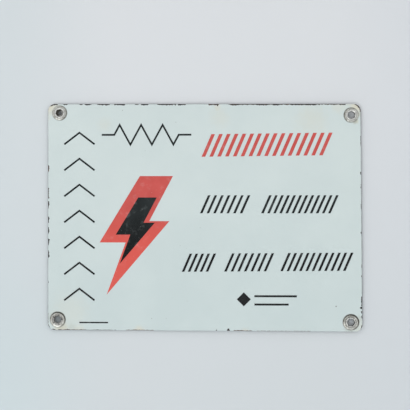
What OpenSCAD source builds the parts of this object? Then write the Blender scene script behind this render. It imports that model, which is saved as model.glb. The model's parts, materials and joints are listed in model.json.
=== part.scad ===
// Enamelled steel danger sign with a set eyelet in each corner.
// The face looks towards -Y, X runs along the width and Z runs up.
// The origin is the middle of the plate, halfway through its thickness.

/* [Plate] */
// Width of the plate
plate_w = 350; // [330:1:500]
// Height of the plate
plate_h = 252; // [246:1:400]
// Thickness of the sheet with the enamel on both sides
plate_t = 2; // [1.6:0.1:2.4]
// Radius of the plate's corners
corner_r = 8; // [4:0.5:8]

/* [Eyelets] */
// Diameter of the hole through each eyelet
bore_d = 8; // [6:0.5:8]
// Thickness of the eyelet and washer metal
metal_t = 0.5; // [0.4:0.05:0.6]
// Outer diameter of the flange on the back
flange_d = 16.4; // [15:0.2:18]
// Height of the flange and of the curled rim above the plate
rim_h = 1.35; // [1.3:0.05:1.5]
// Number of splits in a curled rim
split_count = 6; // [3:1:8]
// Heights of the washers' crests above the plate, top left, top right, bottom left and bottom right
crest_h = [0.65, 0.9, 0.85, 0.9]; // [0.65:0.05:1.1]
// Width of a washer's raised outer ring
crest_w = 2.4; // [2.2:0.1:2.4]
// Hole of the top left corner, in from the side and from the top
inset_top_left = [13.7, 9.4]; // [9.4:0.1:16]
// Hole of the top right corner, in from the side and from the top
inset_top_right = [11.8, 12.7]; // [9.4:0.1:16]
// Hole of the bottom left corner, in from the side and from the bottom
inset_bottom_left = [11.7, 11.9]; // [9.4:0.1:16]
// Hole of the bottom right corner, in from the side and from the bottom
inset_bottom_right = [12.3, 10]; // [9.4:0.1:16]
// Washer diameters, top left, top right, bottom left and bottom right
washer_d = [16.4, 16.4, 17.4, 17.8]; // [16:0.2:18]

/* [Print] */
// Relief of the fired print above the face
print_t = 0.15; // [0.1:0.05:0.3]
// Width of the thin black lines of the picture
line_w = 2; // [1:0.1:3]
// Height of the red flash
flash_h = 132; // [80:1:140]
// Height of the red hatched band
headline_h = 25; // [15:1:30]
// Height of the two black hatched bands
text_h = 20; // [12:1:24]
// Lean of the hatching from upright, in degrees
hatch_lean = 24; // [0:1:35]

/* [Wear] */
// Spacing of the chips along a worn stretch of edge
chip_pitch = 9; // [7:0.5:20]
// Deepest bite of a chip into the rounded edge
chip_depth = 0.4; // [0.2:0.05:0.5]

/* [Hidden] */
$fn = 64;

edge_r = plate_t / 2;
bore_r = bore_d / 2;
barrel_r = bore_r + metal_t;
barrel_gap = 0.1;
washer_gap = 0.1;

// Places on the plate are written as it lies face up: x across, y up the face.
top_left = [inset_top_left.x - plate_w / 2, plate_h / 2 - inset_top_left.y];
top_right = [plate_w / 2 - inset_top_right.x, plate_h / 2 - inset_top_right.y];
bottom_left = [inset_bottom_left.x - plate_w / 2, inset_bottom_left.y - plate_h / 2];
bottom_right = [plate_w / 2 - inset_bottom_right.x, inset_bottom_right.y - plate_h / 2];

enamel_white = [0.80, 0.85, 0.85];
enamel_red = [0.86, 0.35, 0.32];
enamel_black = [0.11, 0.13, 0.14];
eyelet_grey = [0.66, 0.66, 0.64];

// Stands a sign that was drawn lying face up on its lower edge.
module stand_up() {
    rotate([90, 0, 0]) children();
}

// Half of the plate's section: flat to the start of the rounded edge.
module half_section(reach) {
    translate([0, -edge_r]) square([reach - edge_r, plate_t]);
    translate([reach - edge_r, 0]) circle(edge_r);
}

module sheet() {
    inner_w = plate_w - 2 * corner_r;
    inner_h = plate_h - 2 * corner_r;
    for (side = [0, 180]) rotate(side) {
        rotate([90, 0, -90]) mirror([1, 0])
            linear_extrude(inner_w, center = true) half_section(plate_h / 2);
        translate([inner_w / 2, 0]) rotate([90, 0, 0])
            linear_extrude(inner_h, center = true) half_section(corner_r);
        for (end = [0, 1]) mirror([0, end, 0])
            translate([inner_w / 2, inner_h / 2]) rotate_extrude(angle = 90)
                half_section(corner_r);
    }
}

// Sides of the plate, as the turn that brings the top edge there.
side_top = 0;
side_left = 90;
side_bottom = 180;
side_right = -90;

// Worn stretches: a side, then the start and the end along it from its middle.
worn_runs = [
    [side_top, -119, -92],
    [side_top, -76, -64],
    [side_top, -50, -24],
    [side_top, 8, 18],
    [side_top, 28, 154],
    [side_left, 53, 58],
    [side_left, 12, 32],
    [side_left, -44, -2],
    [side_bottom, 132, 154],
    [side_bottom, -28, -24],
    [side_right, 96, 112]
];

function to_edge(side) = (side == side_top || side == side_bottom ? plate_h : plate_w) / 2;

// A shallow scoop out of the front of a rounded edge, tapering out at both ends.
module chip(at, length, bite) {
    wheel_r = (pow(length / 2, 2) + pow(bite, 2)) / (2 * bite);
    translate([at, -edge_r, 0]) rotate([-45, 0, 0])
        translate([0, 0, edge_r - bite + wheel_r]) rotate([90, 0, 0])
            cylinder(r = wheel_r, h = 2 * plate_t, center = true, $fn = 180);
}

module edge_chips() {
    for (i = [0 : len(worn_runs) - 1]) {
        run = worn_runs[i];
        count = max(1, round((run[2] - run[1]) / chip_pitch));
        step = (run[2] - run[1]) / count;
        lengths = rands(0.55, 0.9, count, 11 + i);
        bites = rands(0.45, 1, count, 41 + i);
        rotate(run[0]) translate([0, to_edge(run[0])]) for (k = [0 : count - 1])
            chip(run[1] + (k + 0.5) * step, lengths[k] * chip_pitch, bites[k] * chip_depth);
    }
}

module enamel_plate() {
    color(enamel_white) stand_up() difference() {
        sheet();
        for (hole = [top_left, top_right, bottom_left, bottom_right])
            translate(hole) cylinder(r = barrel_r + barrel_gap, h = 2 * plate_t, center = true);
        edge_chips();
    }
}

// A shell of the metal's thickness over a circle's arc that rises by height between two radii.
module domed_section(from_r, to_r, height) {
    half = (to_r - from_r) / 2;
    dome_r = (pow(half, 2) + pow(height, 2)) / (2 * height);
    intersection() {
        translate([from_r, 0]) square([to_r - from_r, height]);
        difference() {
            translate([from_r + half, height - dome_r]) circle(dome_r, $fn = 96);
            translate([from_r + half, height - dome_r]) circle(dome_r - metal_t, $fn = 96);
        }
    }
}

// A pressed washer: a flat seat under the eyelet's rim inside a raised outer ring.
module washer(d, at, height) {
    color(eyelet_grey) stand_up() translate([at.x, at.y, plate_t / 2]) rotate_extrude() {
        domed_section(d / 2 - crest_w, d / 2, height);
        translate([barrel_r + washer_gap, 0])
            square([d / 2 - crest_w + metal_t - barrel_r - washer_gap, metal_t]);
    }
}

// The barrel with its domed flange behind the plate.
module barrel() {
    barrel_top = plate_t / 2 + metal_t;
    rotate_extrude() {
        translate([bore_r, -plate_t / 2]) square([metal_t, plate_t / 2 + barrel_top]);
        translate([0, -plate_t / 2]) mirror([0, 1]) domed_section(bore_r, flange_d / 2, rim_h);
    }
}

// The barrel's end curled out over the washer and split into petals as it was set.
module curled_rim() {
    curl_r = rim_h - metal_t;
    mouth_r = bore_r * 1.15;
    split_w = 0.5;
    translate([0, 0, plate_t / 2 + metal_t]) difference() {
        rotate_extrude() intersection() {
            translate([bore_r, 0]) square(2 * curl_r);
            difference() {
                translate([bore_r + curl_r, 0]) circle(curl_r);
                translate([bore_r + curl_r, 0]) circle(curl_r - metal_t);
            }
        }
        translate([0, 0, curl_r / 2]) cylinder(r = mouth_r, h = curl_r, $fn = split_count);
        for (k = [0 : split_count - 1]) rotate(k * 360 / split_count)
            translate([mouth_r - split_w, -split_w / 2, curl_r / 3])
                cube([2 * curl_r, split_w, curl_r]);
    }
}

// The barrel's end spread into a wide cone that was never curled back.
module flared_rim() {
    flare = rim_h - metal_t;
    reach = 2;
    translate([0, 0, plate_t / 2 + metal_t]) rotate_extrude() polygon([
        [bore_r, 0],
        [bore_r + reach, flare],
        [bore_r + reach + metal_t / 2, flare - metal_t / 2],
        [barrel_r + metal_t, 0]
    ]);
}

module eyelet(at, turn, curled = true) {
    color(eyelet_grey) stand_up() translate(at) rotate(turn) {
        barrel();
        if (curled) curled_rim();
        else flared_rim();
    }
}

// Unit normal to the left of the line from one point to another.
function left_of(from, to) = let (d = to - from) [-d.y, d.x] / norm(d);

// How far a line's corner reaches out for each unit of its half width, so that its sides stay parallel.
function mitre(points, i) =
    let (
        last = len(points) - 1,
        before = left_of(points[max(i - 1, 0)], points[max(i, 1)]),
        after = left_of(points[min(i, last - 1)], points[min(i + 1, last)]),
        middle = (before + after) / norm(before + after)
    )
    middle / (middle * before);

// A line of the print with mitred corners and square ends.
module line(points, w) {
    last = len(points) - 1;
    polygon(concat(
        [for (i = [0 : last]) points[i] + mitre(points, i) * w / 2],
        [for (i = [last : -1 : 0]) points[i] - mitre(points, i) * w / 2]
    ));
}

// Slanted bars of one width filling a band from its left end to its right end.
module hatched_band(from_x, to_x, band_h, bar_w, pitch) {
    shift = band_h * tan(hatch_lean);
    count = floor((to_x - from_x - shift - bar_w) / pitch);
    step = (to_x - from_x - shift - bar_w) / count;
    for (k = [0 : count]) translate([from_x + k * step, 0]) polygon([
        [0, -band_h / 2],
        [bar_w, -band_h / 2],
        [bar_w + shift, band_h / 2],
        [shift, band_h / 2]
    ]);
}

// Outline of a lightning flash one unit high, from the left of its top end round.
flash_outline = [
    [0.08, 0.5],
    [0.36, 0.5],
    [0.16, 0.12],
    [0.33, 0.12],
    [-0.2, -0.5],
    [-0.04, -0.06],
    [-0.26, -0.06]
];
flash_at = [-82, -20];
flash_heart = [0.05, 0.09];
core_share = 0.56;

module flash() {
    translate(flash_at) scale(flash_h) polygon(flash_outline);
}

module flash_core() {
    translate(flash_at) scale(flash_h) translate(flash_heart) scale(core_share)
        translate(-flash_heart) polygon(flash_outline);
}

module headline() {
    translate([70, 80.7]) rotate(0.6) hatched_band(-72.7, 72.7, headline_h, 4, 8.4);
}

// The chevrons stand one above another down the left of the plate.
module chevrons() {
    count = 7;
    half_w = 17;
    rise = 13;
    pitch = 29;
    for (k = [0 : count - 1]) translate([-139, 88 - k * pitch])
        line([[-half_w, -rise / 2], [0, rise / 2], [half_w, -rise / 2]], line_w);
}

// A level line with a zigzag in its middle, above the flash.
module zigzag() {
    peaks = 6;
    peak_h = 11;
    pitch = 12;
    lead = 14;
    half_span = peaks * pitch / 2;
    teeth = [
        for (k = [0 : peaks - 1]) [(k + 0.5) * pitch - half_span, k % 2 == 0 ? peak_h : -peak_h]
    ];
    translate([-64, 92]) line(
        concat([[-half_span - lead, 0], [-half_span, 0]], teeth, [[half_span, 0], [half_span + lead, 0]]),
        line_w
    );
}

module black_lines() {
    text_bar = 2.8;
    text_pitch = 6.4;
    translate([0, 14.6]) for (word = [[-4.4, 51.5], [63.5, 149.2]])
        hatched_band(word[0], word[1], text_h, text_bar, text_pitch);
    translate([70, -49.7]) rotate(0.45) for (word = [[-94.7, -56.4], [-47.6, 8], [14.7, 95.6]])
        hatched_band(word[0], word[1], text_h, text_bar, text_pitch);
}

// A plain diamond with two short rules beside it, and a rule near the bottom edge.
module small_print() {
    rule_w = 2.2;
    translate([44.3, -90.9]) rotate(45) square(11, center = true);
    line([[56, -87.4], [103, -87.4]], rule_w);
    line([[56, -96.6], [94, -96.6]], rule_w);
    line([[-139, -117.2], [-107, -117.2]], rule_w * 0.7);
}

// Lays a flat outline on the face as fired print.
module fired() {
    stand_up() translate([0, 0, plate_t / 2]) linear_extrude(print_t) children();
}

module red_print() {
    color(enamel_red) fired() {
        headline();
        difference() {
            flash();
            flash_core();
        }
    }
}

module black_print() {
    color(enamel_black) fired() {
        flash_core();
        chevrons();
        zigzag();
        black_lines();
        small_print();
    }
}

enamel_plate();
red_print();
black_print();
eyelet(top_left, 10);  // eyelet_top_left
eyelet(top_right, 24);  // eyelet_top_right
eyelet(bottom_left, 0, curled = false);  // eyelet_bottom_left
eyelet(bottom_right, -6);  // eyelet_bottom_right
washer(washer_d[0], top_left, crest_h[0]);  // washer_top_left
washer(washer_d[1], top_right, crest_h[1]);  // washer_top_right
washer(washer_d[2], bottom_left, crest_h[2]);  // washer_bottom_left
washer(washer_d[3], bottom_right, crest_h[3]);  // washer_bottom_right
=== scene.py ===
"""Looks of an enamelled steel danger sign, built round its packed construction model.

The sign hangs upright with its face towards -Y. Sizes are in metres, in the frame of the construction model.
"""

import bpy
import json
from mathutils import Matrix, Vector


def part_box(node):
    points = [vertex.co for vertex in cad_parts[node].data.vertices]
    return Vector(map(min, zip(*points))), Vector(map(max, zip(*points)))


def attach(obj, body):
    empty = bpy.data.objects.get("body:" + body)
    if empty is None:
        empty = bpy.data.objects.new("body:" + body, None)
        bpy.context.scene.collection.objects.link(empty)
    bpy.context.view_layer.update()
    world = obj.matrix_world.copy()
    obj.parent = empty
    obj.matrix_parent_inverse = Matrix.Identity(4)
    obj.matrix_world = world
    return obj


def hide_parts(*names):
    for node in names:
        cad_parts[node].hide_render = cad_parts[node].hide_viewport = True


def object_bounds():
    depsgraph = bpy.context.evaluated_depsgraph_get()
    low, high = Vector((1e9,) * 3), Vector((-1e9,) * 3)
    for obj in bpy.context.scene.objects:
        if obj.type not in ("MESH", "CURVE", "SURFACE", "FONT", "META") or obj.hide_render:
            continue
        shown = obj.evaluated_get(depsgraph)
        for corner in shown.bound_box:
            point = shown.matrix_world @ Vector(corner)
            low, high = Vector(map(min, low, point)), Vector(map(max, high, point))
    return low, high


bl_info = {
    "name": "Enamel danger sign",
    "version": (1, 0, 0),
    "blender": (4, 5, 0),
    "location": "View3D > Sidebar > Enamel sign",
    "description": "Adds a worn enamelled steel sign with set eyelets, and a plain stage for it",
    "category": "Object",
}

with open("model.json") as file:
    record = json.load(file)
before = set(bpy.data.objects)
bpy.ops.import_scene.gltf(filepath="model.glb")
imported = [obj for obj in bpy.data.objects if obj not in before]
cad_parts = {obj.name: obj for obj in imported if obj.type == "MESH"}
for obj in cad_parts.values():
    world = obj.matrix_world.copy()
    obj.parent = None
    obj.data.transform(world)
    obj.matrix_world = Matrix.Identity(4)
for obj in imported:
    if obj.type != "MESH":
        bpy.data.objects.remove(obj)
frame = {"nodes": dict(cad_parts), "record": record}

import functools
import json
import math

import bpy
import bmesh
import numpy as np
from mathutils import Vector, geometry, noise

MM = 0.001
CAD_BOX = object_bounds()
PLATE_LOW, PLATE_HIGH = (Vector(corner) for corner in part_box("enamel_plate"))
PLATE_T = PLATE_HIGH.y - PLATE_LOW.y
CORNERS = ("top_left", "top_right", "bottom_left", "bottom_right")
HOLES = {m["name"].removeprefix("hole_"): Vector(m["pos_m"]) for m in frame["record"]["mounts"]}
BORE_R = frame["record"]["mounts"][0]["dims"]["r_mm"] * MM


def washer_size(corner):
    """Outer radius of the washer in one corner and its height above the plate's face."""
    low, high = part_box(f"washer_{corner}")
    return (high[0] - low[0]) / 2, PLATE_LOW.y - low[1]


def linear(red, green, blue):
    """A colour as a screen shows it, each part from 0 to 255, in the linear values that a shader takes."""
    parts = (part / 255 for part in (red, green, blue))
    return tuple(p / 12.92 if p <= 0.04045 else ((p + 0.055) / 1.055) ** 2.4 for p in parts)


# Colours of wear and dirt, and of painted shade: on the face, on the back, on the fittings and on the backdrop.
CREAM_STAIN = linear(216, 203, 172)
OLIVE_SMUDGE = linear(158, 156, 132)
# Grime and painted contact shade round the washers' feet.
GRIME_AND_SHADE = linear(78, 76, 64)
SPECK = linear(70, 62, 52)
GROUND_COAT = linear(96, 100, 102)
RUST_BLEED = linear(176, 142, 110)
BARE_STEEL = linear(44, 42, 43)
RUSTY_STEEL = linear(104, 72, 52)
BACK_PALE = linear(192, 199, 199)
BACK_DARK = linear(176, 184, 186)
SCUFF = linear(138, 141, 140)
BACK_DOT = linear(104, 108, 110)
RUST_HALO = linear(158, 118, 84)
METAL_DIRT = linear(56, 54, 47)
WASHER_TARNISH = linear(180, 179, 170)
EYELET_TARNISH = linear(218, 217, 211)
# Painted shade on the backdrop's right side.
RIGHT_BACKDROP_SHADE = linear(206, 211, 217)
BACKDROP_GRAIN = linear(190, 196, 200)
# Painted shadow on the backdrop behind the holes.
HOLE_SHADOW_TONE = linear(40, 42, 44)

# How finely the round forms are divided: points round a hole, round a washer and across a petal.
HOLE_STEPS = 64
WASHER_STEPS = 128
PETAL_STEPS = 12

# The glassy enamel's index of refraction, the camera's sensor in millimetres and where the broad lamp stands.
GLASS_IOR = 1.52
SENSOR_W = 36.0
KEY_PLACE = (-0.68, -1.62, -0.93)


def rgba(colour):
    """A colour with a full alpha, as colour sockets take it."""
    return (*colour[:3], 1.0)


def smoothstep(value, low, high):
    """0 below low, 1 above high and smooth in between, for a number or an array."""
    t = np.clip((value - low) / (high - low), 0.0, 1.0)
    return t * t * (3 - 2 * t)


class Wire:
    """An output of a shader node. Python's operators on it add Math nodes."""

    def __init__(self, shader, socket):
        self.shader = shader
        self.socket = socket

    def __add__(self, other):
        return self.shader.maths("ADD", self, other)

    def __radd__(self, other):
        return self.shader.maths("ADD", other, self)

    def __sub__(self, other):
        return self.shader.maths("SUBTRACT", self, other)

    def __rsub__(self, other):
        return self.shader.maths("SUBTRACT", other, self)

    def __mul__(self, other):
        return self.shader.maths("MULTIPLY", self, other)

    def __rmul__(self, other):
        return self.shader.maths("MULTIPLY", other, self)

    def __truediv__(self, other):
        return self.shader.maths("DIVIDE", self, other)

    def __rtruediv__(self, other):
        return self.shader.maths("DIVIDE", other, self)


class Shader:
    """The nodes of a material or a world, made from Python expressions."""

    def __init__(self, owner):
        owner.use_nodes = True
        self.owner = owner
        self.tree = owner.node_tree
        self.tree.nodes.clear()

    def node(self, kind, settings=None, sockets=None, output=0):
        """Adds a shader node of this kind: its settings first, then the values or links of its sockets."""
        node = self.tree.nodes.new(f"ShaderNode{kind}")
        for key, value in (settings or {}).items():
            setattr(node, key, value)
        for key, value in (sockets or {}).items():
            if isinstance(value, Wire):
                self.tree.links.new(value.socket, node.inputs[key])
            else:
                node.inputs[key].default_value = value
        return Wire(self, node.outputs[output]) if node.outputs else None

    def maths(self, operation, *values):
        """A Math node on these values."""
        return self.node("Math", {"operation": operation}, dict(enumerate(values)))

    def greatest(self, masks):
        """The greatest of several masks."""
        return functools.reduce(lambda first, second: self.maths("MAXIMUM", first, second), masks)

    def away(self, dx, dz):
        """How far off a place is, from its distances across and up."""
        return self.maths("SQRT", dx * dx + dz * dz)

    def smooth(self, value, low, high):
        """0 below low, 1 above high and smooth in between. low may be the greater, for a mask that falls."""
        sockets = {"Value": value, "From Min": low, "From Max": high}
        return self.node("MapRange", {"interpolation_type": "SMOOTHSTEP"}, sockets)

    def mix(self, share, first, second):
        """The first colour where share is 0, the second where it is 1."""
        sockets = {0: share}
        for key, colour in ((6, first), (7, second)):
            sockets[key] = colour if isinstance(colour, Wire) else rgba(colour)
        return self.node("Mix", {"data_type": "RGBA"}, sockets, output=2)

    def place(self):
        """The point on the piece, in metres from the piece's own origin."""
        return self.node("TexCoord", output="Object")

    def axes(self, point):
        """X, Y and Z of a point."""
        split = self.node("SeparateXYZ", sockets={0: point})
        return [Wire(self, socket) for socket in split.socket.node.outputs]

    def stretched(self, point, along):
        """The point with each axis multiplied by its part of along."""
        return self.node("VectorMath", {"operation": "MULTIPLY"}, {0: point, 1: along})

    def noise(self, point, size, detail=2.0, roughness=0.5):
        """Soft noise around 0.5 with grains of about this size, in metres."""
        sockets = {"Vector": point, "Scale": 1 / size, "Detail": detail, "Roughness": roughness}
        return self.node("TexNoise", sockets=sockets)

    def dots(self, point, size):
        """The distance to the nearest of many scattered points, as a share of their spacing."""
        return self.node("TexVoronoi", sockets={"Vector": point, "Scale": 1 / size})

    def attribute(self, name):
        """A number stored on the mesh."""
        return self.node("Attribute", {"attribute_name": name}, output="Fac")

    def bump(self, height, depth):
        """A normal that shows a height from 0 to 1 as relief of this depth, in metres."""
        return self.node("Bump", sockets={"Height": height, "Distance": depth})

    def surface(self, **sockets):
        """Ends the material in one Principled shader. An underscore in a name stands for a space."""
        named = {key.replace("_", " "): value for key, value in sockets.items()}
        shader = self.node("BsdfPrincipled", sockets=named)
        self.node("OutputMaterial", sockets={"Surface": shader})
        return self.owner


def add_object(name, data):
    """An object with this data, linked to the scene."""
    added = bpy.data.objects.new(name, data)
    bpy.context.scene.collection.objects.link(added)
    return added


def add_mesh(name, verts, faces):
    """A smoothly shaded object with these points and faces."""
    mesh = bpy.data.meshes.new(name)
    mesh.from_pydata(verts, [], faces)
    mesh.validate()
    mesh.polygons.foreach_set("use_smooth", [True] * len(mesh.polygons))
    return add_object(name, mesh)


def finish_mesh(name, bm):
    """A smoothly shaded object with what bm holds, its faces turned outwards."""
    bmesh.ops.recalc_face_normals(bm, faces=bm.faces)
    mesh = bpy.data.meshes.new(name)
    bm.to_mesh(mesh)
    bm.free()
    mesh.polygons.foreach_set("use_smooth", [True] * len(mesh.polygons))
    return add_object(name, mesh)


def join_rows(bm, first, second, closed):
    """Faces between two rows of points, and on from their ends to their starts where they are closed."""
    for k in range(len(first) if closed else len(first) - 1):
        after = (k + 1) % len(first)
        bm.faces.new((first[k], first[after], second[after], second[k]))


def stand_for(piece, node, material):
    """Sets a finished piece in a construction node's place."""
    piece.data.materials.append(material)
    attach(piece, "root")
    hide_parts(node)


def grain(x, y, z, size):
    """Noise from -1 to 1 at a point, with grains of about this size."""
    return noise.noise(Vector((x, y, z)) / size)


# Worn stretches of each side's edge: the start and end along it in millimetres from its middle, how far the chips
# reach in from the edge in millimetres, and how rusty they are. Across is to the right, up is up.
WORN = {
    "top": (
        (-172, -168.5, 1.6, 0.45), (-168.5, -163.5, 2.0, 0.3), (-157, -152.5, 1.7, 0.2), (-139, -135.5, 1.6, 0.2),
        (-133, -125.5, 1.8, 0.1), (-119, -105, 1.8, 0.2), (-100, -88, 1.8, 0.1), (-77, -73, 1.8, 0.1),
        (-70, -62, 1.9, 0.1), (-52, -31, 2.0, 0.2), (-29, -20, 1.8, 0.2), (5, 17, 1.8, 0.45), (27, 95, 1.8, 0.3),
        (95, 157, 1.8, 0.25), (167, 176, 1.9, 0.35),
    ),
    "right": (
        (117, 126, 1.9, 0.35), (78, 90, 0.9, 0.1), (47.5, 50.5, 1.6, 0.1), (32, 37, 1.2, 0.1), (9, 15, 1.1, 0.1),
        (-18, -15.5, 1.6, 0.1), (-56, -52, 1.6, 0.1), (-66, -64, 1.5, 0.2), (-98, -87, 1.5, 0.1),
        (-106.5, -103.5, 1.7, 0.1), (-112, -108.5, 1.6, 0.1), (-122.5, -119.5, 1.6, 0.1),
    ),
    "bottom": (
        (-170, -165.5, 1.2, 0.35), (-163, -154, 1.2, 0.45), (-153.5, -148.5, 1.6, 0.3), (-148, -134, 1.2, 0.45),
        (-134, -98, 0.75, 0.35), (-87, -56, 0.9, 0.6), (33, 53.5, 0.9, 0.6), (58, 118, 0.5, 0.6),
    ),
    "left": (
        (51, 58, 1.9, 0.5), (21, 33, 1.6, 0.3), (10, 18, 1.8, 0.3), (-6, 1, 1.9, 0.2), (-18, -11, 1.8, 0.2),
        (-31, -24, 2.0, 0.2), (-45, -37, 1.9, 0.2), (-73, -71, 1.7, 0.1), (-124, -106, 0.8, 0.3),
    ),
}

# Single deep chips of each side: the place along it, the chip's half width and how far it reaches in, in millimetres.
DEEP_CHIPS = {
    "top": ((15.2, 1.3, 2.6), (43, 1.0, 1.9), (121, 1.2, 1.9)),
    "right": ((-100, 1.6, 3.0),),
    "bottom": ((27.2, 1.8, 2.8), (14.0, 0.7, 1.7)),
    "left": (),
}
SIDES = {"top": (0, 1), "right": (1, 0), "bottom": (0, -1), "left": (-1, 0)}

# How dark each side's edge is: the dark ground coat showing through the thin enamel, and painted shade that differs
# from side to side.
EDGE_COAT_AND_SHADE = {"top": 0.75, "right": 0.8, "bottom": 0.05, "left": 0.55}


def nearest_side(out):
    """The side that an outward direction faces."""
    return max(SIDES, key=lambda side: SIDES[side][0] * out[0] + SIDES[side][1] * out[1])


def chip_reach(point, out):
    """How far in from the edge the enamel is gone at a point of the outline, and how rusty it is there."""
    side = nearest_side(out)
    along = (point[0] if side in ("top", "bottom") else point[1]) / MM
    reach, rust = 0.0, 0.1
    ragged = grain(point[0], 0.0, point[1], 2.6 * MM) + 0.6 * grain(point[0], 0.1, point[1], 0.9 * MM)
    for start, end, depth, how_rusty in WORN[side]:
        inside = smoothstep(along, start - 0.8, start + 0.8) * smoothstep(-along, -end - 0.8, -end + 0.8)
        if inside > 0:
            reach = max(reach, inside * depth * (0.78 + 0.5 * ragged))
            rust = max(rust, float(inside) * how_rusty)
    for middle, half, depth in DEEP_CHIPS[side]:
        reach = max(reach, depth * (1 - ((along - middle) / half) ** 2) + 0.3 * ragged)
    return reach, rust


# How far each corner of the sheet lies off a true rectangle, across and up, in millimetres.
OUT_OF_SQUARE = {
    "top_left": (0.4, 0.9),
    "top_right": (-1.1, 0.1),
    "bottom_left": (0.4, 0.1),
    "bottom_right": (0.8, -0.5),
}


def off_square(point):
    """A point of a true rectangle, moved to where the hand-cut sheet has it."""
    across = (point[0] - PLATE_LOW.x) / (PLATE_HIGH.x - PLATE_LOW.x)
    up = (point[1] - PLATE_LOW.z) / (PLATE_HIGH.z - PLATE_LOW.z)
    shares = {
        "top_left": (1 - across) * up,
        "top_right": across * up,
        "bottom_left": (1 - across) * (1 - up),
        "bottom_right": across * (1 - up),
    }
    moves = [sum(shares[corner] * OUT_OF_SQUARE[corner][k] for corner in CORNERS) * MM for k in (0, 1)]
    return point[0] + moves[0], point[1] + moves[1]


def outline(corner_r, step):
    """Points of the plate's outline with their outward directions, clockwise from the top left corner."""
    low, high = PLATE_LOW, PLATE_HIGH
    turns = (
        (low.x + corner_r, high.z - corner_r, 180),
        (high.x - corner_r, high.z - corner_r, 90),
        (high.x - corner_r, low.z + corner_r, 0),
        (low.x + corner_r, low.z + corner_r, -90),
    )
    arc = math.radians(90)
    arc_steps = round(arc * corner_r / step)
    points = []
    for k, (cx, cz, angle) in enumerate(turns):
        for i in range(arc_steps):
            a = math.radians(angle) - arc * i / arc_steps
            out = (math.cos(a), math.sin(a))
            points.append((off_square((cx + corner_r * out[0], cz + corner_r * out[1])), out))
        a = math.radians(angle - 90)
        out = (math.cos(a), math.sin(a))
        nx, nz, _ = turns[(k + 1) % 4]
        start = (cx + corner_r * out[0], cz + corner_r * out[1])
        end = (nx + corner_r * out[0], nz + corner_r * out[1])
        side_steps = round(math.dist(start, end) / step)
        for i in range(side_steps):
            t = i / side_steps
            straight = (start[0] + t * (end[0] - start[0]), start[1] + t * (end[1] - start[1]))
            points.append((off_square(straight), out))
    return points


def plate_section(flat_in, edge_r):
    """The plate's section from the front round the edge to the back: how far in from the edge, how far forward
    and the way along the surface from the middle of the edge, positive to the front."""
    flats = [flat_in - (flat_in - edge_r) * (k / 10) ** 0.6 for k in range(11)]
    quarter = edge_r * math.pi / 2
    rows = [(inset, edge_r, quarter + inset - edge_r) for inset in flats]
    for k in range(1, 14):
        a = math.pi * k / 14
        rows.append((edge_r * (1 - math.sin(a)), edge_r * math.cos(a), edge_r * (math.pi / 2 - a)))
    return rows + [(inset, -edge_r, -quarter - inset + edge_r) for inset in reversed(flats)]


def plate_band(settings):
    """The outer band of the plate, rounded over the edge, with its chips. Returns points and their chip, rust and
    dark edge values (ground coat and painted shade): lists whose first index goes along the outline and whose second
    goes over the section."""
    edge_r = PLATE_T / 2
    section = plate_section(settings.band_width, edge_r)
    places, values = [], []
    for point, out in outline(settings.corner_radius, settings.edge_step):
        reach, rust = chip_reach(point, out)
        wander = settings.edge_wander * (grain(point[0], 3.0, point[1], 30 * MM) - 1) / 2
        # How dark this side's edge gets: ground coat and painted shade.
        thin_most = EDGE_COAT_AND_SHADE[nearest_side(out)] * (1 + 0.5 * grain(point[0], 5.0, point[1], 6 * MM))
        row, value_row = [], []
        for inset, forward, way in section:
            chip = smoothstep(reach * MM - inset, -0.08 * MM, 0.1 * MM) * smoothstep(way, -0.5 * MM, 0.1 * MM)
            rough = 1 + 0.5 * grain(point[0], forward + inset, point[1], 0.7 * MM)
            rim = settings.edge_swell * math.exp(-(((inset - 1.7 * edge_r) / edge_r) ** 2))
            bite = chip * settings.chip_depth * rough
            round_share = 1 - inset / edge_r if inset < edge_r else 0.0
            move_out = wander - bite * round_share
            move_forward = rim - bite * (1 - round_share) if forward > 0 else -rim
            reach_in = inset - move_out
            row.append((point[0] - out[0] * reach_in, -(forward + move_forward), point[1] - out[1] * reach_in))
            thin = thin_most * smoothstep(-inset, -0.8 * MM, -0.25 * MM)
            value_row.append((float(chip), rust, float(thin)))
        places.append(row)
        values.append(value_row)
    return places, values


def fill_flat(bm, outer, rims, settings):
    """Fills the flat between an outer ring of points and the rims of the holes with even triangles."""
    y = outer[0].co.y
    holes = [Vector((hole.x, hole.z)) for hole in HOLES.values()]
    verts, edges = [], []
    for ring in (outer, *rims):
        first = len(verts)
        edges += [(first + k, first + (k + 1) % len(ring)) for k in range(len(ring))]
        verts += ring
    inset = settings.band_width + settings.fill_step / 2
    across, up = (
        np.linspace(low + inset, high - inset, round((high - low - 2 * inset) / settings.fill_step) + 1)
        for low, high in ((PLATE_LOW.x, PLATE_HIGH.x), (PLATE_LOW.z, PLATE_HIGH.z))
    )
    for x in across:
        for z in up:
            if min((Vector((x, z)) - hole).length for hole in holes) > settings.hole_radius + settings.fill_step / 3:
                verts.append(bm.verts.new((x, y, z)))
    points = [Vector((vert.co.x, vert.co.z)) for vert in verts]
    _, _, triangles, sources, _, _ = geometry.delaunay_2d_cdt(points, edges, [], 1, 1e-7)
    for triangle in triangles:
        corners = [sources[k][0] for k in triangle]
        middle = sum((points[k] for k in corners), Vector((0, 0))) / 3
        if min((middle - hole).length for hole in holes) > settings.hole_radius:
            bm.faces.new([verts[k] for k in corners])


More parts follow.
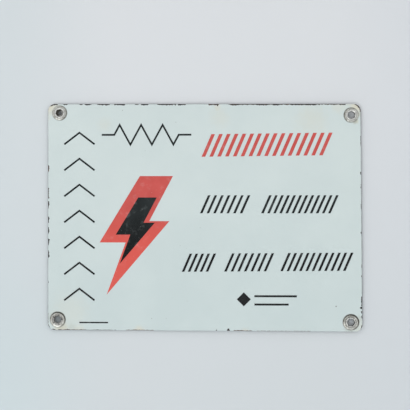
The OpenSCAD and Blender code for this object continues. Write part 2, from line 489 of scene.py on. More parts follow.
def build_plate(settings):
    """The enamelled sheet: a fine band round the edge, flat faces inside it and the four punched holes."""
    places, values = plate_band(settings)
    bm = bmesh.new()
    layers = [bm.verts.layers.float.new(name) for name in ("chip", "rust", "thin")]
    grid = []
    for row, value_row in zip(places, values):
        verts = []
        for place, stored in zip(row, value_row):
            vert = bm.verts.new(place)
            for layer, value in zip(layers, stored):
                vert[layer] = value
            verts.append(vert)
        grid.append(verts)
    for k, verts in enumerate(grid):
        after = grid[(k + 1) % len(grid)]
        for i in range(len(verts) - 1):
            bm.faces.new((verts[i], after[i], after[i + 1], verts[i + 1]))
    front_rims, back_rims = [], []
    for hole in HOLES.values():
        for rims, y in ((front_rims, -PLATE_T / 2), (back_rims, PLATE_T / 2)):
            ring = []
            for k in range(HOLE_STEPS):
                a = 2 * math.pi * k / HOLE_STEPS
                x, z = hole.x + settings.hole_radius * math.cos(a), hole.z + settings.hole_radius * math.sin(a)
                ring.append(bm.verts.new((x, y, z)))
            rims.append(ring)
        join_rows(bm, front_rims[-1], back_rims[-1], closed=True)
    for end, rims in ((0, front_rims), (-1, back_rims)):
        fill_flat(bm, [verts[end] for verts in grid], rims, settings)
        for ring in rims:
            for vert, after in zip(ring, ring[1:] + ring[:1]):
                bm.edges.get((vert, after)).smooth = False
    return finish_mesh("plate", bm)


# How each eyelet and washer was pressed and how it has aged, for the corners in the order of CORNERS. Directions are
# in degrees, anticlockwise from the right.
FITTING_ROWS = {
    # The washer's width against its height in the picture.
    "wide": (1.0, 1.0, 1.0, 1.04),
    # Where the washer's outer flank is darkest, its grime and painted shade away from there and there, and how much
    # more painted shade lies there all over the washer.
    "dark_side": (-15, 160, 60, 55),
    "dark_least": (0.2, 0.35, 0.05, 0.28),
    "dark_most": (0.55, 0.58, 0.8, 0.5),
    "dark_all": (0.0, 0.0, 0.0, 0.26),
    # The petals, whether they curl over, their turn and how far the splits open at the tips.
    "splits": (6, 6, 5, 6),
    "curled": (True, True, False, True),
    "turn": (10, 24, 0, -6),
    "gap": (2.0, 7.0, 4.0, 8.0),
    # How much narrower dirt and wear leave the back of the bore, in millimetres; its darkened wall is also painted
    # shade in the hole.
    "narrow": (2.1, 0.2, 0.5, 0.2),
    # The bore's grime and painted shade, in the way of the washer's.
    "bore_side": (155, 20, 100, -50),
    "bore_least": (-0.1, 0.6, 0.15, 0.8),
    "bore_most": (1.3, 1.2, 0.4, 1.2),
    # How much more tarnish there is all over the eyelet, and half as much over the washer.
    "dull": (0.12, 0.0, 0.34, 0.26),
}
FITTINGS = {corner: {key: row[k] for key, row in FITTING_ROWS.items()} for k, corner in enumerate(CORNERS)}

# Stains that spread from a point of the face: across, up and radius in millimetres, and strength.
STAINS = (
    (-173, 124, 13, 0.9), (-175, 112, 5, 0.3), (172, 124, 15, 1.0), (169.5, 106.5, 4, 0.5), (150, 124, 13, 0.3),
    (-160, -124, 12, 0.7), (-140, -126, 10, 0.4), (-72, -128, 9, 0.7), (46, -128, 7, 0.5), (-150, -104, 34, 0.22),
    (172, -122, 13, 0.35), (18, 112, 16, 0.22), (15, 122, 6, 0.5), (120, 110, 24, 0.28), (-110, 103, 12, 0.2),
)

# Dull olive smudges round the washers, given in the same way.
SMUDGES = (
    (167.5, 106.5, 4.3, 0.9), (171.0, 114.0, 4, 0.6), (161, -124.5, 8, 0.4), (171, -112, 6, 0.35), (-160, -123, 9, 0.4),
    (-148, -124, 8, 0.3), (-170, -110, 5, 0.25),
)

# Dark specks in the face: across, up and radius in millimetres, and strength.
SPECKS = (
    (-90.7, 119.3, 0.6, 0.5), (-31.2, 105.9, 0.6, 0.55), (146.4, -98.4, 0.9, 0.8), (-58.1, -112.5, 0.6, 0.5),
    (-42.0, -112.5, 0.5, 0.4), (-4.2, -11.4, 0.6, 0.35), (-26.4, -31.4, 0.5, 0.35),
)


def spots(shader, x, z, places, edge_noise, soft):
    """A mask of round spots, each with its own strength, with edges that the noise breaks up."""

    def spot(across, up, radius, strength):
        distance = shader.away(x - across * MM, z - up * MM) + edge_noise * (radius * MM)
        return shader.smooth(distance, radius * MM, radius * MM * soft) * strength

    return shader.greatest(spot(*place) for place in places)


def enamel_relief(shader, point):
    """Height of fired enamel: a slow wave of the sheet and the fine peel of the glass."""
    wave = shader.noise(point, 45 * MM, detail=1.0)
    peel = shader.noise(point, 2.2 * MM, detail=2.0)
    return wave * 0.75 + peel * 0.03


def white_enamel(settings):
    """Glossy off-white enamel with stains, specks, grime and painted shade round the washers and chips down to rusty
    steel.
    """
    shader = Shader(bpy.data.materials.new("white enamel"))
    point = shader.place()
    x, y, z = shader.axes(point)
    cloud = shader.noise(point, 60 * MM, detail=3.0)
    fine = shader.noise(point, 4 * MM, detail=4.0, roughness=0.6)
    # Random darker clouds, and painted shade that darkens the face towards the bottom.
    shade = shader.smooth(cloud, 0.35, 0.65) * 0.3 + shader.smooth(z, 0.05, -0.13) * 0.7
    colour = shader.mix(shade, settings.face_colour, settings.face_shade)

    stain = spots(shader, x, z, STAINS, (fine - 0.5) * 0.8 + (cloud - 0.5) * 1.2, 0.1)
    colour = shader.mix(stain * settings.stain_strength, colour, CREAM_STAIN)
    smudge = spots(shader, x, z, SMUDGES, (fine - 0.5) * 0.9, 0.2)
    colour = shader.mix(smudge * settings.stain_strength, colour, OLIVE_SMUDGE)

    back = shader.smooth(y, -0.4 * MM, 0.4 * MM)
    thin_coat = shader.noise(point, 5 * MM, detail=6.0, roughness=0.7)
    back_tone = shader.smooth(thin_coat * 0.35 + cloud * 0.65, 0.4, 0.62)
    back_colour = shader.mix(back_tone, BACK_PALE, BACK_DARK)
    scuffs = shader.noise(shader.stretched(point, (7.0, 1.0, 1.0)), 60 * MM, detail=6.0, roughness=0.65)
    back_colour = shader.mix(shader.smooth(scuffs, 0.6, 0.75) * 0.5, back_colour, SCUFF)
    back_dots = shader.smooth(shader.dots(point, 3 * MM) + (fine - 0.5) * 0.1, 0.16, 0.1)
    back_colour = shader.mix(back_dots * 0.45, back_colour, BACK_DOT)
    colour = shader.mix(back, colour, back_colour)

    halos, rings = [], []
    for corner, hole in HOLES.items():
        dx, dz = x - hole.x, z - hole.z
        distance = shader.away(dx, dz)
        halos.append(shader.smooth(distance + (thin_coat - 0.5) * (9 * MM), 16 * MM, 8 * MM))
        # A dark ring at each washer's foot: grime and a painted contact shadow, stronger towards the fitting's dark
        # side.
        ring = shader.smooth(distance + (fine - 0.5) * (0.6 * MM) - washer_size(corner)[0], 0.7 * MM, 0.05 * MM)
        side = math.radians(FITTINGS[corner]["dark_side"])
        towards = (dx * math.cos(side) + dz * math.sin(side)) / distance
        rings.append(ring * (towards * 0.35 + 0.6))
    grime_and_shade = shader.greatest(rings)
    colour = shader.mix(shader.greatest(halos) * back * 0.6, colour, RUST_HALO)
    colour = shader.mix(grime_and_shade, colour, GRIME_AND_SHADE)

    dust = shader.dots(point, 9 * MM)
    dust_mask = shader.smooth(dust + (fine - 0.5) * 0.05, 0.05, 0.03) * shader.smooth(cloud, 0.5, 0.6) * 0.35
    speck = shader.maths("MAXIMUM", spots(shader, x, z, SPECKS, (fine - 0.5) * 1.2, 0.4), dust_mask)
    colour = shader.mix(speck, colour, SPECK)

    # The dark edge: ground coat through thin enamel, and painted shade that is strongest on the top and right edges.
    colour = shader.mix(shader.attribute("thin"), colour, GROUND_COAT)
    chip = shader.attribute("chip")
    rust = shader.attribute("rust")
    bleed = shader.smooth(chip + (fine - 0.5) * 0.5, 0.02, 0.35) * rust
    colour = shader.mix(bleed * 0.7, colour, RUST_BLEED)
    bare = shader.smooth(chip + (fine - 0.5) * 0.3, 0.3, 0.5)
    crust = shader.noise(point, 1.3 * MM, detail=5.0, roughness=0.7)
    rusty = shader.smooth(crust + (rust - 0.5) * 0.35, 0.42, 0.62)
    steel = shader.mix(rusty, BARE_STEEL, RUSTY_STEEL)
    colour = shader.mix(bare, colour, steel)

    gloss = settings.gloss_roughness + shader.smooth(fine, 0.3, 0.9) * 0.06 + stain * 0.2 + grime_and_shade * 0.3
    roughness = gloss + bare * (0.8 - gloss)
    height = enamel_relief(shader, point) + bare * (crust * 0.12)
    return shader.surface(
        Base_Color=colour,
        Roughness=roughness,
        Normal=shader.bump(height, settings.relief_depth),
        IOR=GLASS_IOR,
    )


def print_enamel(name, colour, shade, low_down, settings):
    """Glossy fired print: slightly uneven in tone and stronger low down on the sign, with fine pinholes and a faint
    haze of wear."""
    shader = Shader(bpy.data.materials.new(name))
    point = shader.place()
    _, _, z = shader.axes(point)
    tone = shader.noise(point, 22 * MM, detail=3.0)
    fine = shader.noise(point, 0.8 * MM, detail=3.0, roughness=0.6)
    base = shader.mix(shader.smooth(tone, 0.3, 0.7), colour, shade)
    base = shader.mix(shader.smooth(z, 0.02, -0.04) * 0.85, base, low_down)
    pinhole = shader.smooth(shader.dots(point, 3.5 * MM) + (fine - 0.5) * 0.1, 0.09, 0.05)
    base = shader.mix(pinhole * 0.35, base, settings.face_colour)
    haze = shader.smooth(shader.noise(point, 9 * MM, detail=5.0, roughness=0.65), 0.52, 0.78)
    base = shader.mix(haze * 0.10, base, settings.face_colour)
    height = enamel_relief(shader, point) + fine * 0.02 - pinhole * 0.05
    return shader.surface(
        Base_Color=base,
        Roughness=settings.gloss_roughness + haze * 0.18 + shader.smooth(fine, 0.4, 0.8) * 0.06,
        Normal=shader.bump(height, settings.relief_depth),
        IOR=GLASS_IOR,
    )


def dull_metal(name, settings, colour, tint):
    """Weathered pale metal, with tarnish, dirt and painted shade where the mesh stores them."""
    shader = Shader(bpy.data.materials.new(name))
    point = shader.place()
    mottle = shader.noise(point, 3.0 * MM, detail=4.0, roughness=0.65)
    fine = shader.noise(point, 0.5 * MM, detail=3.0)
    base = shader.mix(shader.smooth(mottle, 0.35, 0.7), colour, tint)
    # The stored grime and painted shade darken the metal.
    grime_and_shade = shader.attribute("grime_and_shade") + (mottle - 0.5) * 0.7 + (fine - 0.5) * 0.25
    grime_and_shade = shader.smooth(grime_and_shade, 0.12, 0.85)
    pits = shader.smooth(mottle * 0.6 + fine * 0.5, 0.62, 0.7) * 0.4
    grime_and_shade = shader.maths("MAXIMUM", grime_and_shade, pits)
    base = shader.mix(grime_and_shade, base, METAL_DIRT)
    return shader.surface(
        Base_Color=base,
        Metallic=0.8 - grime_and_shade * 0.7,
        Roughness=settings.metal_roughness + (mottle - 0.5) * 0.25 + grime_and_shade * 0.2,
        Normal=shader.bump(mottle * 0.6 + fine * 0.4, 0.12 * MM),
    )


def around(angle, side, least, most):
    """A value that goes from least to most towards one side of a circle. The angle is in radians."""
    return least + (most - least) * (0.5 + 0.5 * math.cos(angle - math.radians(side)))


def wobble(angle, lobes, seed):
    """Noise from -1 to 1 that closes on itself round a full turn."""
    return noise.noise(Vector((math.cos(angle) * lobes, math.sin(angle) * lobes, seed)))


def washer_section(outer_r, crest_h, inner_r, settings):
    """A pressed washer's section: long outer slope, crest, seat, hole wall and underside, as radius, height and
    grime with painted shade."""
    metal_t, crest_w, crest_at = settings.metal_thickness, settings.crest_width, 0.66
    points = [(outer_r - 0.1 * MM, 0.0, 1.0)]
    for k in range(1, 19):
        share = 0.5 - 0.5 * math.cos(math.pi * k / 18)
        if share < crest_at:
            height = crest_h * math.sin(math.pi / 2 * share / crest_at) ** 0.7
        else:
            fall = (share - crest_at) / (1 - crest_at)
            height = metal_t + (crest_h - metal_t) * (0.5 + 0.5 * math.cos(math.pi * fall))
        radius = outer_r - crest_w * share
        flank = float(smoothstep(radius, outer_r - 1.9 * MM, outer_r - 0.5 * MM))
        groove = float(smoothstep(share, 0.9, 1.0)) * 0.35
        points.append((radius, height, max(flank, groove)))
    seat_start = outer_r - crest_w
    for share in (0.25, 0.6, 0.9):
        points.append((seat_start + share * (inner_r - seat_start), metal_t, 0.5))
    points += [(inner_r, metal_t - 0.1 * MM, 0.7), (inner_r, 0.05 * MM, 0.7), (inner_r + 0.2 * MM, 0.0, 0.7)]
    for inwards, height in ((0.97 * crest_w, 0.0), (0.7 * crest_w, 0.25 * MM), (0.35 * crest_w, 0.2 * MM)):
        points.append((outer_r - inwards, height, 0.7))
    return points


def build_washer(corner, settings):
    """One pressed washer, its ring dented a little all round."""
    fitting = FITTINGS[corner]
    seed = 7.3 * CORNERS.index(corner)
    outer_r, crest_h = washer_size(corner)
    section = washer_section(outer_r, crest_h, settings.barrel_radius + 0.1 * MM, settings)
    stretch = fitting["wide"] ** 0.5
    verts, faces, grime_and_shade_values = [], [], []
    for k in range(WASHER_STEPS):
        a = 2 * math.pi * k / WASHER_STEPS
        grow = 1 + 0.010 * wobble(a, 1.5, seed)
        dent = 1 + 0.16 * wobble(a, 2.2, seed + 1) + 0.05 * wobble(a, 6, seed + 2)
        # The flank's grime and painted shade grow towards the dark side; more painted shade lies there over the whole
        # washer, with half the even tarnish.
        flank = around(a, fitting["dark_side"], fitting["dark_least"], fitting["dark_most"])
        shade_and_tarnish = around(a, fitting["dark_side"], 0.0, fitting["dark_all"]) + fitting["dull"] / 2
        for radius, height, grime_and_shade in section:
            lifted = height
            if height > settings.metal_thickness or radius > outer_r - 0.9 * MM:
                lifted = height * dent
            x = radius * grow * stretch * math.cos(a)
            verts.append((x, -lifted, radius * grow / stretch * math.sin(a)))
            grime_and_shade_values.append(grime_and_shade * (flank if radius > outer_r - 2.0 * MM else 1.0) + shade_and_tarnish)
    count = len(section)
    for k in range(WASHER_STEPS):
        here, after = k * count, (k + 1) % WASHER_STEPS * count
        for i in range(count):
            j = (i + 1) % count
            faces.append((here + i, after + i, after + j, here + j))
    piece = add_mesh(f"washer_ring_{corner}", verts, faces)
    piece.data.attributes.new("grime_and_shade", "FLOAT", "POINT").data.foreach_set("value", grime_and_shade_values)
    hole = HOLES[corner]
    piece.location = (hole.x, -PLATE_T / 2, hole.z)
    return piece


def eyelet_rows(fitting, settings):
    """The middle line of an eyelet's metal from the foot of the back flange to the tip of a petal, as radius,
    height and grime with painted shade, with the number of rows before the splits start."""
    half_t = settings.metal_thickness / 2
    barrel = BORE_R + half_t
    back = barrel - fitting["narrow"] * MM
    seat = PLATE_T / 2 + settings.metal_thickness
    flange_w = (settings.flange_radius - half_t - back) / 2
    rows = []
    for k in range(13):
        a = math.pi * k / 12
        radius = back + flange_w + flange_w * math.cos(a)
        rows.append((radius, -PLATE_T / 2 - (settings.rim_height - half_t) * math.sin(a), 0.25))
    # The barrel is dark all over: dirt and painted shade in the bore.
    for share in (0.25, 0.5, 0.75, 1.0):
        rows.append((back + (barrel - back) * share, -PLATE_T / 2 + share * (seat + PLATE_T / 2), 1.0))
    before_splits = len(rows)
    curl = (settings.rim_height - settings.metal_thickness) - half_t
    for k in range(1, 11):
        share = k / 10
        if fitting["curled"]:
            a = math.radians(180 - 155 * share)
            grime_and_shade = max(1 - 4 * share, 0.05, 4 * share - 3.2)
            rows.append((barrel + curl + curl * math.cos(a), seat + curl * math.sin(a), grime_and_shade))
        else:
            rows.append((barrel + 2.0 * MM * share, seat + curl * share ** 0.7, 1 - 0.5 * share))
    return rows, before_splits


def build_eyelet(corner, settings):
    """One set eyelet: a sheet from the back flange through the barrel to the split and curled petals."""
    fitting = FITTINGS[corner]
    splits, turn = fitting["splits"], math.radians(fitting["turn"])
    rows, before_splits = eyelet_rows(fitting, settings)
    seat = PLATE_T / 2 + settings.metal_thickness
    seed = 3.1 * CORNERS.index(corner)
    petal_angle = 2 * math.pi / splits
    bm = bmesh.new()
    grime_and_shade_layer = bm.verts.layers.float.new("grime_and_shade")

    def add_vert(row, angle, radius_more=0.0, height_share=1.0, grime_more=0.0):
        radius, height, grime_and_shade = rows[row]
        if row >= before_splits:
            height = seat + (height - seat) * height_share
        radius += radius_more
        vert = bm.verts.new((radius * math.cos(angle), -height, radius * math.sin(angle)))
        # The bore's grime and painted shade, strongest towards its dark side.
        inside = around(angle, fitting["bore_side"], fitting["bore_least"], fitting["bore_most"])
        vert[grime_and_shade_layer] = grime_and_shade * (inside if row > 8 else 1.0) + grime_more + fitting["dull"]
        return vert

    rings = []
    for row in range(before_splits):
        ring = []
        for k in range(splits * PETAL_STEPS):
            angle = turn + k * petal_angle / PETAL_STEPS
            dent = 0.12 * MM * wobble(angle, 1.8, seed) if row < 8 else 0.0
            ring.append(add_vert(row, angle, dent))
        rings.append(ring)
    for first, second in zip(rings, rings[1:]):
        join_rows(bm, first, second, closed=True)
    for petal in range(splits):
        start = turn + petal * petal_angle
        flatter = 0.9 + 0.12 * wobble(start, 3, seed + 5)
        longer = 0.25 * MM * wobble(start, 3, seed + 9)
        last = [rings[-1][(petal * PETAL_STEPS + k) % len(rings[-1])] for k in range(PETAL_STEPS + 1)]
        for row in range(before_splits, len(rows)):
            share = (row - before_splits + 1) / (len(rows) - before_splits)
            gap_half = math.radians(fitting["gap"]) / 2 * smoothstep(share, 0.05, 1.0)
            verts = []
            for k in range(PETAL_STEPS + 1):
                u = k / PETAL_STEPS
                angle = start + gap_half + u * (petal_angle - 2 * gap_half)
                off = (u - 0.5) * petal_angle
                corner_share = (1 / math.cos(off) - 1) / (1 / math.cos(petal_angle / 2) - 1)
                open_out = 0.45 * MM * corner_share * math.sin(math.pi * min(share, 0.6) / 1.2)
                ripple = 0.08 * MM * wobble(angle, 7, seed + row * 0.3)
                more = share * (longer + ripple) + open_out
                split_grime = 0.35 if k in (0, PETAL_STEPS) else 0.0
                verts.append(add_vert(row, angle, more, 1 + (flatter - 1) * share, split_grime))
            join_rows(bm, last, verts, closed=False)
            last = verts
    piece = finish_mesh(f"eyelet_metal_{corner}", bm)
    hole = HOLES[corner]
    piece.location = (hole.x, 0.0, hole.z)
    thick = piece.modifiers.new("thickness", "SOLIDIFY")
    thick.thickness = settings.metal_thickness
    thick.offset = 0.0
    thick.use_even_offset = True
    soften = piece.modifiers.new("soften", "SUBSURF")
    soften.levels = soften.render_levels = 1
    return piece


def length_setting(name, description, default, **limits):
    """A length in metres for the panel."""
    return bpy.props.FloatProperty(name=name, description=description, default=default, unit="LENGTH", **limits)


def angle_setting(name, description, degrees):
    """An angle for the panel."""
    return bpy.props.FloatProperty(
        name=name, description=description, default=math.radians(degrees), subtype="ANGLE", unit="ROTATION"
    )


def share_setting(name, description, default):
    """A share from 0 to 1 for the panel."""
    return bpy.props.FloatProperty(name=name, description=description, default=default, min=0, max=1, subtype="FACTOR")


def colour_setting(name, description, red, green, blue):
    """A colour for the panel, given as a screen shows it."""
    return bpy.props.FloatVectorProperty(
        name=name, description=description, default=linear(red, green, blue), subtype="COLOR"
    )


class SignPlateSettings(bpy.types.PropertyGroup):
    """Sizes of the enamelled sheet."""

    corner_radius: length_setting("Corner radius", "Radius of the plate's corners", 8.0 * MM, min=4.5 * MM)
    fill_step: length_setting("Fill step", "Spacing of the points that fill the flats", 12 * MM)
    edge_step: length_setting("Edge step", "Spacing of the mesh points along the edge", 0.5 * MM, min=0.3 * MM)
    band_width: length_setting(
        "Band width", "Width of the finely modelled band along the edge, inside the eyelets", 4.2 * MM, max=4.4 * MM
    )
    edge_swell: length_setting("Edge swell", "How much thicker the enamel lies just inside the edge", 0.05 * MM)
    edge_wander: length_setting("Edge wander", "How far the edge strays inwards from a straight line", 0.25 * MM)
    chip_depth: length_setting("Chip depth", "Thickness of the enamel that a chip has lost", 0.28 * MM)
    hole_radius: length_setting("Hole radius", "Radius of the holes punched for the eyelets", 4.6 * MM)


class SignEnamelSettings(bpy.types.PropertyGroup):
    """Colours and gloss of the enamel."""

    face_colour: colour_setting("Face", "Off-white of the face", 208, 219, 218)
    # The face shade is also the face's painted shade low down.
    face_shade: colour_setting("Face shade", "The face's darker clouds", 197, 210, 210)
    red_colour: colour_setting("Red", "Red of the print", 204, 90, 85)
    red_shade: colour_setting("Red shade", "The red's darker clouds", 195, 83, 78)
    red_low: colour_setting("Low red", "Red low down on the sign", 219, 91, 81)
    black_colour: colour_setting("Black", "Black of the print", 29, 34, 35)
    black_shade: colour_setting("Black shade", "The black's lighter clouds", 38, 43, 44)
    black_low: colour_setting("Low black", "Black low down on the sign", 7, 9, 10)
    gloss_roughness: share_setting("Roughness", "Roughness of clean enamel", 0.14)
    stain_strength: share_setting("Stains", "Strength of the cream stains", 0.6)
    relief_depth: length_setting("Relief", "Height of the enamel's slow wave", 0.5 * MM)
    print_bevel: length_setting("Print edge", "Radius of the print's melted edge", 0.06 * MM)


class SignEyeletSettings(bpy.types.PropertyGroup):
    """Sizes and finish of the eyelets and washers."""

    metal_thickness: length_setting("Metal", "Thickness of the metal", 0.5 * MM)
    barrel_radius: length_setting("Barrel radius", "Outer radius of the barrel", BORE_R + 0.5 * MM)
    flange_radius: length_setting("Flange radius", "Outer radius of the back flange", 8.2 * MM)
    rim_height: length_setting(
        "Rim height", "Height of the curled rim and of the back flange above the plate", 1.35 * MM
    )
    crest_width: length_setting("Crest width", "Width of a washer's raised ring", 3.2 * MM)
    metal_colour: colour_setting("Eyelet colour", "Colour of the eyelets' metal", 236, 236, 232)
    washer_colour: colour_setting("Washer colour", "Colour of the washers' metal", 212, 212, 205)
    metal_roughness: share_setting("Metal roughness", "Roughness of the worn metal", 0.34)


class SignStageSettings(bpy.types.PropertyGroup):
    """The camera, the lights and the pale wall and floor."""

    view_distance: length_setting("Camera distance", "From the camera to the face", 1.2)
    view_width: length_setting("View width", "Width that the picture takes in at the face", 0.4557)
    view_centre: bpy.props.FloatVectorProperty(
        name="View centre",
        description="Point of the face in the middle of the picture, across and up",
        size=2,
        default=(1.2 * MM, 13.8 * MM),
        unit="LENGTH",
    )
    view_left: angle_setting(
        "View to the left", "How far left the camera looks, from a place a little to the right", 1.9
    )
    view_up: angle_setting("View upwards", "How far up the camera looks, from a place a little lower", 0.2)
    wall_turn: angle_setting(
        "Wall turn", "How far the wall is turned, so that the sign's right side stands off it", 0.12
    )
    floor_height: length_setting("Floor height", "Height of the floor", -1.3)
    backdrop_colour: colour_setting("Backdrop", "Pale wall and floor", 217, 220, 223)
    # The lower and left backdrop colours are painted shade on the wall.
    backdrop_low_shade: colour_setting("Lower backdrop", "Wall's lower part", 204, 210, 213)
    backdrop_left_shade: colour_setting("Left backdrop", "Wall towards its left", 200, 211, 214)
    floor_colour: colour_setting("Floor", "Pale floor", 236, 238, 239)
    sky_strength: bpy.props.FloatProperty(
        name="Surrounding light", description="Strength of the light all round", default=1.19
    )
    camera_shade: share_setting("Camera shade", "Share of the surrounding light that the camera's side lacks", 0.75)
    side_shade: share_setting(
        "Side shade", "Share of the surrounding light that the sides lack, and in part the back", 0.5
    )
    key_power: bpy.props.FloatProperty(
        name="Key light", description="Power of the broad lamp", default=6.2, unit="POWER"
    )


# How much painted shadow darkens the backdrop behind each hole, where the corner stands off it.
HOLE_SHADE = {"top_left": 0.75, "top_right": 0.1, "bottom_left": 0.5, "bottom_right": 0.1}


def build_backdrop(settings):
    """A wall just behind the sign that runs down in a curve to a floor, seen only from its front."""
    reach, top, cove, floor_end = 6.0, 3.0, 0.6, -14.0
    profile = [(0.0, top), (0.0, 0.5), (0.0, settings.floor_height + cove)]
    for k in range(1, 13):
        a = math.radians(90 * k / 12)
        profile.append((cove * math.cos(a) - cove, settings.floor_height + cove - cove * math.sin(a)))
    profile.append((floor_end, settings.floor_height))
    verts = [(x, y, z) for y, z in profile for x in (-reach, reach)]
    faces = [(2 * k, 2 * k + 2, 2 * k + 3, 2 * k + 1) for k in range(len(profile) - 1)]
    backdrop = add_mesh("backdrop", verts, faces)
    backdrop.location = (CAD_BOX[0][0], CAD_BOX[1][1] + 0.05 * MM, 0.0)
    backdrop.rotation_euler = (0, 0, settings.wall_turn)
    shader = Shader(bpy.data.materials.new("pale backdrop"))
    passed = shader.node("LightPath", output="Transparent Depth")
    in_front = shader.maths("LESS_THAN", passed, 0.5)
    back = shader.node("NewGeometry", output="Backfacing")
    point = shader.node("NewGeometry", output="Position")
    x, _, z = shader.axes(point)
    # Painted shade on the wall: darker low down, towards the left and towards the right.
    lower = shader.smooth(z, 0.22, -0.28)
    colour = shader.mix(lower, settings.backdrop_colour, settings.backdrop_low_shade)
    left = shader.smooth(x, -0.08, -0.24) * (shader.smooth(z, 0.0, -0.2) * 0.5 + 0.5)
    colour = shader.mix(left, colour, settings.backdrop_left_shade)
    colour = shader.mix(shader.smooth(x, 0.12, 0.26) * 0.35, colour, RIGHT_BACKDROP_SHADE)
    colour = shader.mix(shader.smooth(z, -0.6, -1.2), colour, settings.floor_colour)
    colour = shader.mix(shader.noise(point, 1.5 * MM, detail=3.0) * 0.04, colour, BACKDROP_GRAIN)
    # Painted shadow on the wall behind each hole.
    hole_shadows = (
        shader.smooth(shader.away(x - hole.x, z - hole.z), 8 * MM, 5 * MM) * HOLE_SHADE[corner]
        for corner, hole in HOLES.items()
    )
    colour = shader.mix(shader.greatest(hole_shadows), colour, HOLE_SHADOW_TONE)
    finish = {"Base Color": colour, "Roughness": 1.0, "Specular IOR Level": 0.0}
    matt = shader.node("BsdfPrincipled", sockets=finish)
    clear = shader.node("BsdfTransparent")
    shown = shader.node("MixShader", sockets={0: in_front * (1 - back), 1: clear, 2: matt})
    shader.node("OutputMaterial", sockets={"Surface": shown})
    backdrop.data.materials.append(shader.owner)


def light_scene(settings):
    """Light from all round in front, weak from the camera's own side, the sides and the back, and one broad lamp low
    on the left."""
    sky = Shader(bpy.data.worlds.new("room light"))
    _, y, _ = sky.axes(sky.node("TexCoord", output="Generated"))
    camera_side = sky.smooth(y, -math.cos(math.radians(22)), -math.cos(math.radians(12)))
    strength = settings.sky_strength * (1 - camera_side * settings.camera_shade)
    strength = strength * (1 - sky.smooth(y, -0.55, -0.1) * settings.side_shade + sky.smooth(y, 0.05, 0.35) * 0.3)
    seen = sky.node("LightPath", output="Is Camera Ray")
    mirrored = sky.node("LightPath", output="Is Glossy Ray")
    passed = sky.node("LightPath", output="Is Transmission Ray")
    colour = sky.mix(seen + mirrored + passed, (1.0, 1.0, 1.0), settings.backdrop_colour)
    glow = sky.node("Background", sockets={"Color": colour, "Strength": strength * (1 - seen) + seen})
    sky.node("OutputWorld", sockets={"Surface": glow})
    bpy.context.scene.world = sky.owner
    lamp = bpy.data.lights.new("key", "AREA")
    lamp.shape = "DISK"
    lamp.size = 0.6
    lamp.energy = settings.key_power
    key = add_object("key", lamp)
    key.location = KEY_PLACE
    key.rotation_euler = (-key.location).to_track_quat("-Z", "Y").to_euler()
    key.visible_camera = False


def add_camera(settings):
    """A camera almost square on to the face, as the photograph was taken."""
    lens = bpy.data.cameras.new("camera")
    lens.sensor_width = SENSOR_W
    lens.lens = SENSOR_W * settings.view_distance / settings.view_width
    lens.clip_end = 50.0
    camera = add_object("camera", lens)
    across, up = settings.view_centre
    camera.rotation_euler = (math.radians(90) + settings.view_up, 0, settings.view_left)
    ahead = camera.rotation_euler.to_matrix() @ Vector((0, 0, -1))
    camera.location = Vector((across, PLATE_LOW.y, up)) - ahead * settings.view_distance
    bpy.context.scene.camera = camera


class SIGN_OT_plate(bpy.types.Operator):
    """Adds the enamelled sheet with its chipped edge"""

    bl_idname = "sign.plate"
    bl_label = "Enamelled plate"

    def execute(self, context):
        scene = context.scene
        piece = build_plate(scene.sign_plate)
        stand_for(piece, "enamel_plate", white_enamel(scene.sign_enamel))
        return {"FINISHED"}


class SIGN_OT_print(bpy.types.Operator):
    """Finishes the red and the black fired print"""

    bl_idname = "sign.fired_print"
    bl_label = "Fired print"

    def execute(self, context):
        enamel = context.scene.sign_enamel
        tones = {
            "red": (enamel.red_colour, enamel.red_shade, enamel.red_low),
            "black": (enamel.black_colour, enamel.black_shade, enamel.black_low),
        }
        for name, (colour, shade, low_down) in tones.items():
            layer = frame["nodes"][f"{name}_print"]
            layer.data.materials.clear()
            layer.data.materials.append(print_enamel(f"{name} enamel", colour, shade, low_down, enamel))
            joined = layer.modifiers.new("joined edges", "WELD")
            joined.merge_threshold = 0.001 * MM
            melt = layer.modifiers.new("melted edge", "BEVEL")
            melt.width = enamel.print_bevel
            melt.segments = 2
            melt.limit_method = "ANGLE"
        return {"FINISHED"}


class SIGN_OT_washers(bpy.types.Operator):
    """Adds the four pressed washers"""

    bl_idname = "sign.washers"
    bl_label = "Washers"

    def execute(self, context):
        settings = context.scene.sign_eyelet
        material = dull_metal("washer metal", settings, settings.washer_colour, WASHER_TARNISH)
        for corner in CORNERS:
            stand_for(build_washer(corner, settings), f"washer_{corner}", material)
        return {"FINISHED"}


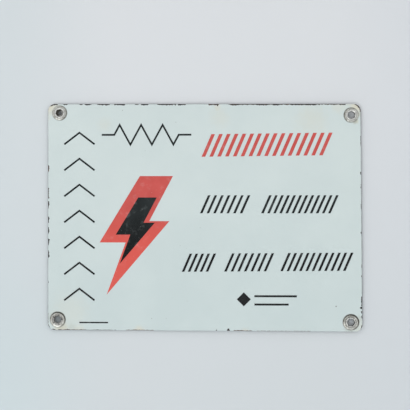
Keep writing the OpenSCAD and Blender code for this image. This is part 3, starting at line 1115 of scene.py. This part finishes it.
class SIGN_OT_eyelets(bpy.types.Operator):
    """Adds the four set eyelets"""

    bl_idname = "sign.eyelets"
    bl_label = "Eyelets"

    def execute(self, context):
        settings = context.scene.sign_eyelet
        material = dull_metal("eyelet metal", settings, settings.metal_colour, EYELET_TARNISH)
        for corner in CORNERS:
            stand_for(build_eyelet(corner, settings), f"eyelet_{corner}", material)
        return {"FINISHED"}


class SIGN_OT_stage(bpy.types.Operator):
    """Adds the pale backdrop, the lights and the camera"""

    bl_idname = "sign.stage"
    bl_label = "Stage"

    def execute(self, context):
        settings = context.scene.sign_stage
        build_backdrop(settings)
        light_scene(settings)
        add_camera(settings)
        context.scene.view_settings.view_transform = "Standard"
        return {"FINISHED"}


class SIGN_PT_parts(bpy.types.Panel):
    """Lists the sign's pieces and their settings"""

    bl_idname = "SIGN_PT_parts"
    bl_label = "Enamel sign"
    bl_space_type = "VIEW_3D"
    bl_region_type = "UI"
    bl_category = "Enamel sign"

    def draw(self, context):
        for operator in OPERATORS:
            self.layout.operator(operator.bl_idname)
        for name, group in GROUPS.items():
            box = self.layout.box()
            for key in group.__annotations__:
                box.prop(getattr(context.scene, name), key)


GROUPS = {
    "sign_plate": SignPlateSettings,
    "sign_enamel": SignEnamelSettings,
    "sign_eyelet": SignEyeletSettings,
    "sign_stage": SignStageSettings,
}
OPERATORS = (SIGN_OT_stage, SIGN_OT_plate, SIGN_OT_print, SIGN_OT_washers, SIGN_OT_eyelets)


def register():
    for cls in (*GROUPS.values(), *OPERATORS, SIGN_PT_parts):
        bpy.utils.register_class(cls)
    for name, group in GROUPS.items():
        setattr(bpy.types.Scene, name, bpy.props.PointerProperty(type=group))


def unregister():
    for name in GROUPS:
        delattr(bpy.types.Scene, name)
    for cls in reversed((*GROUPS.values(), *OPERATORS, SIGN_PT_parts)):
        bpy.utils.unregister_class(cls)


def main():
    register()
    bpy.ops.sign.stage()
    bpy.ops.sign.plate()
    bpy.ops.sign.fired_print()
    bpy.ops.sign.washers()
    bpy.ops.sign.eyelets()


if __name__ == "__main__":
    main()
